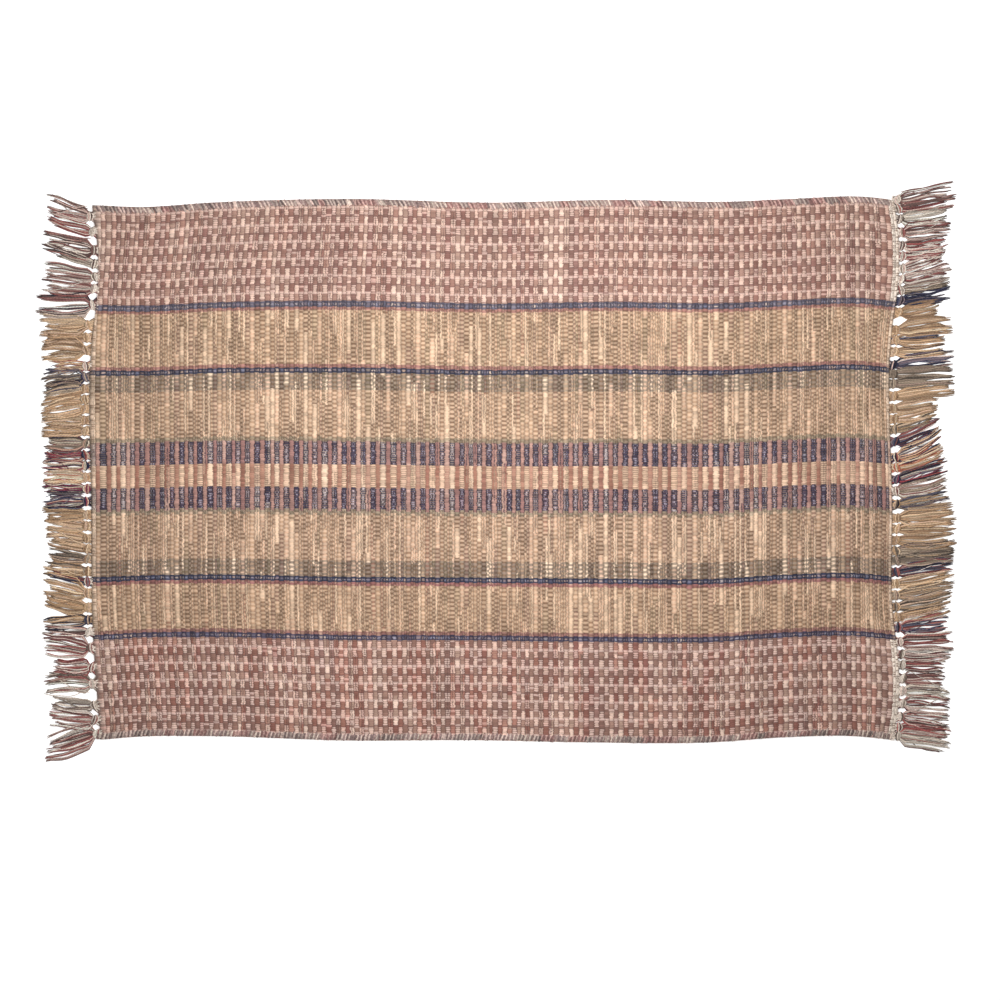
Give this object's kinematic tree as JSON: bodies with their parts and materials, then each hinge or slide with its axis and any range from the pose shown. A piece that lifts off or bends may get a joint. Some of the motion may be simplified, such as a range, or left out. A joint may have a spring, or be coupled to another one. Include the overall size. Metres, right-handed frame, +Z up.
{
  "type": "rag rug",
  "caption": "Flat rectangular rag rug with ribbed block weave, striped bands and a knotted fringe at each short end.",
  "frame": {"origin": "centre of the whole rug's box, fringes included, on the surface it lies on", "axes": "+X along the long side, towards the picture's right; +Y across, towards the picture's top; +Z up from the floor"},
  "size_m": [1.038, 0.648, 0.005],
  "materials": {
    "rag_weave": "matte woven cotton rag",
    "fringe_yarn": "matte twisted cotton yarn"
  },
  "bodies": {
    "root": {"rug_body": "rag_weave", "fringe_left": "fringe_yarn", "fringe_right": "fringe_yarn"}
  },
  "joints": []
}
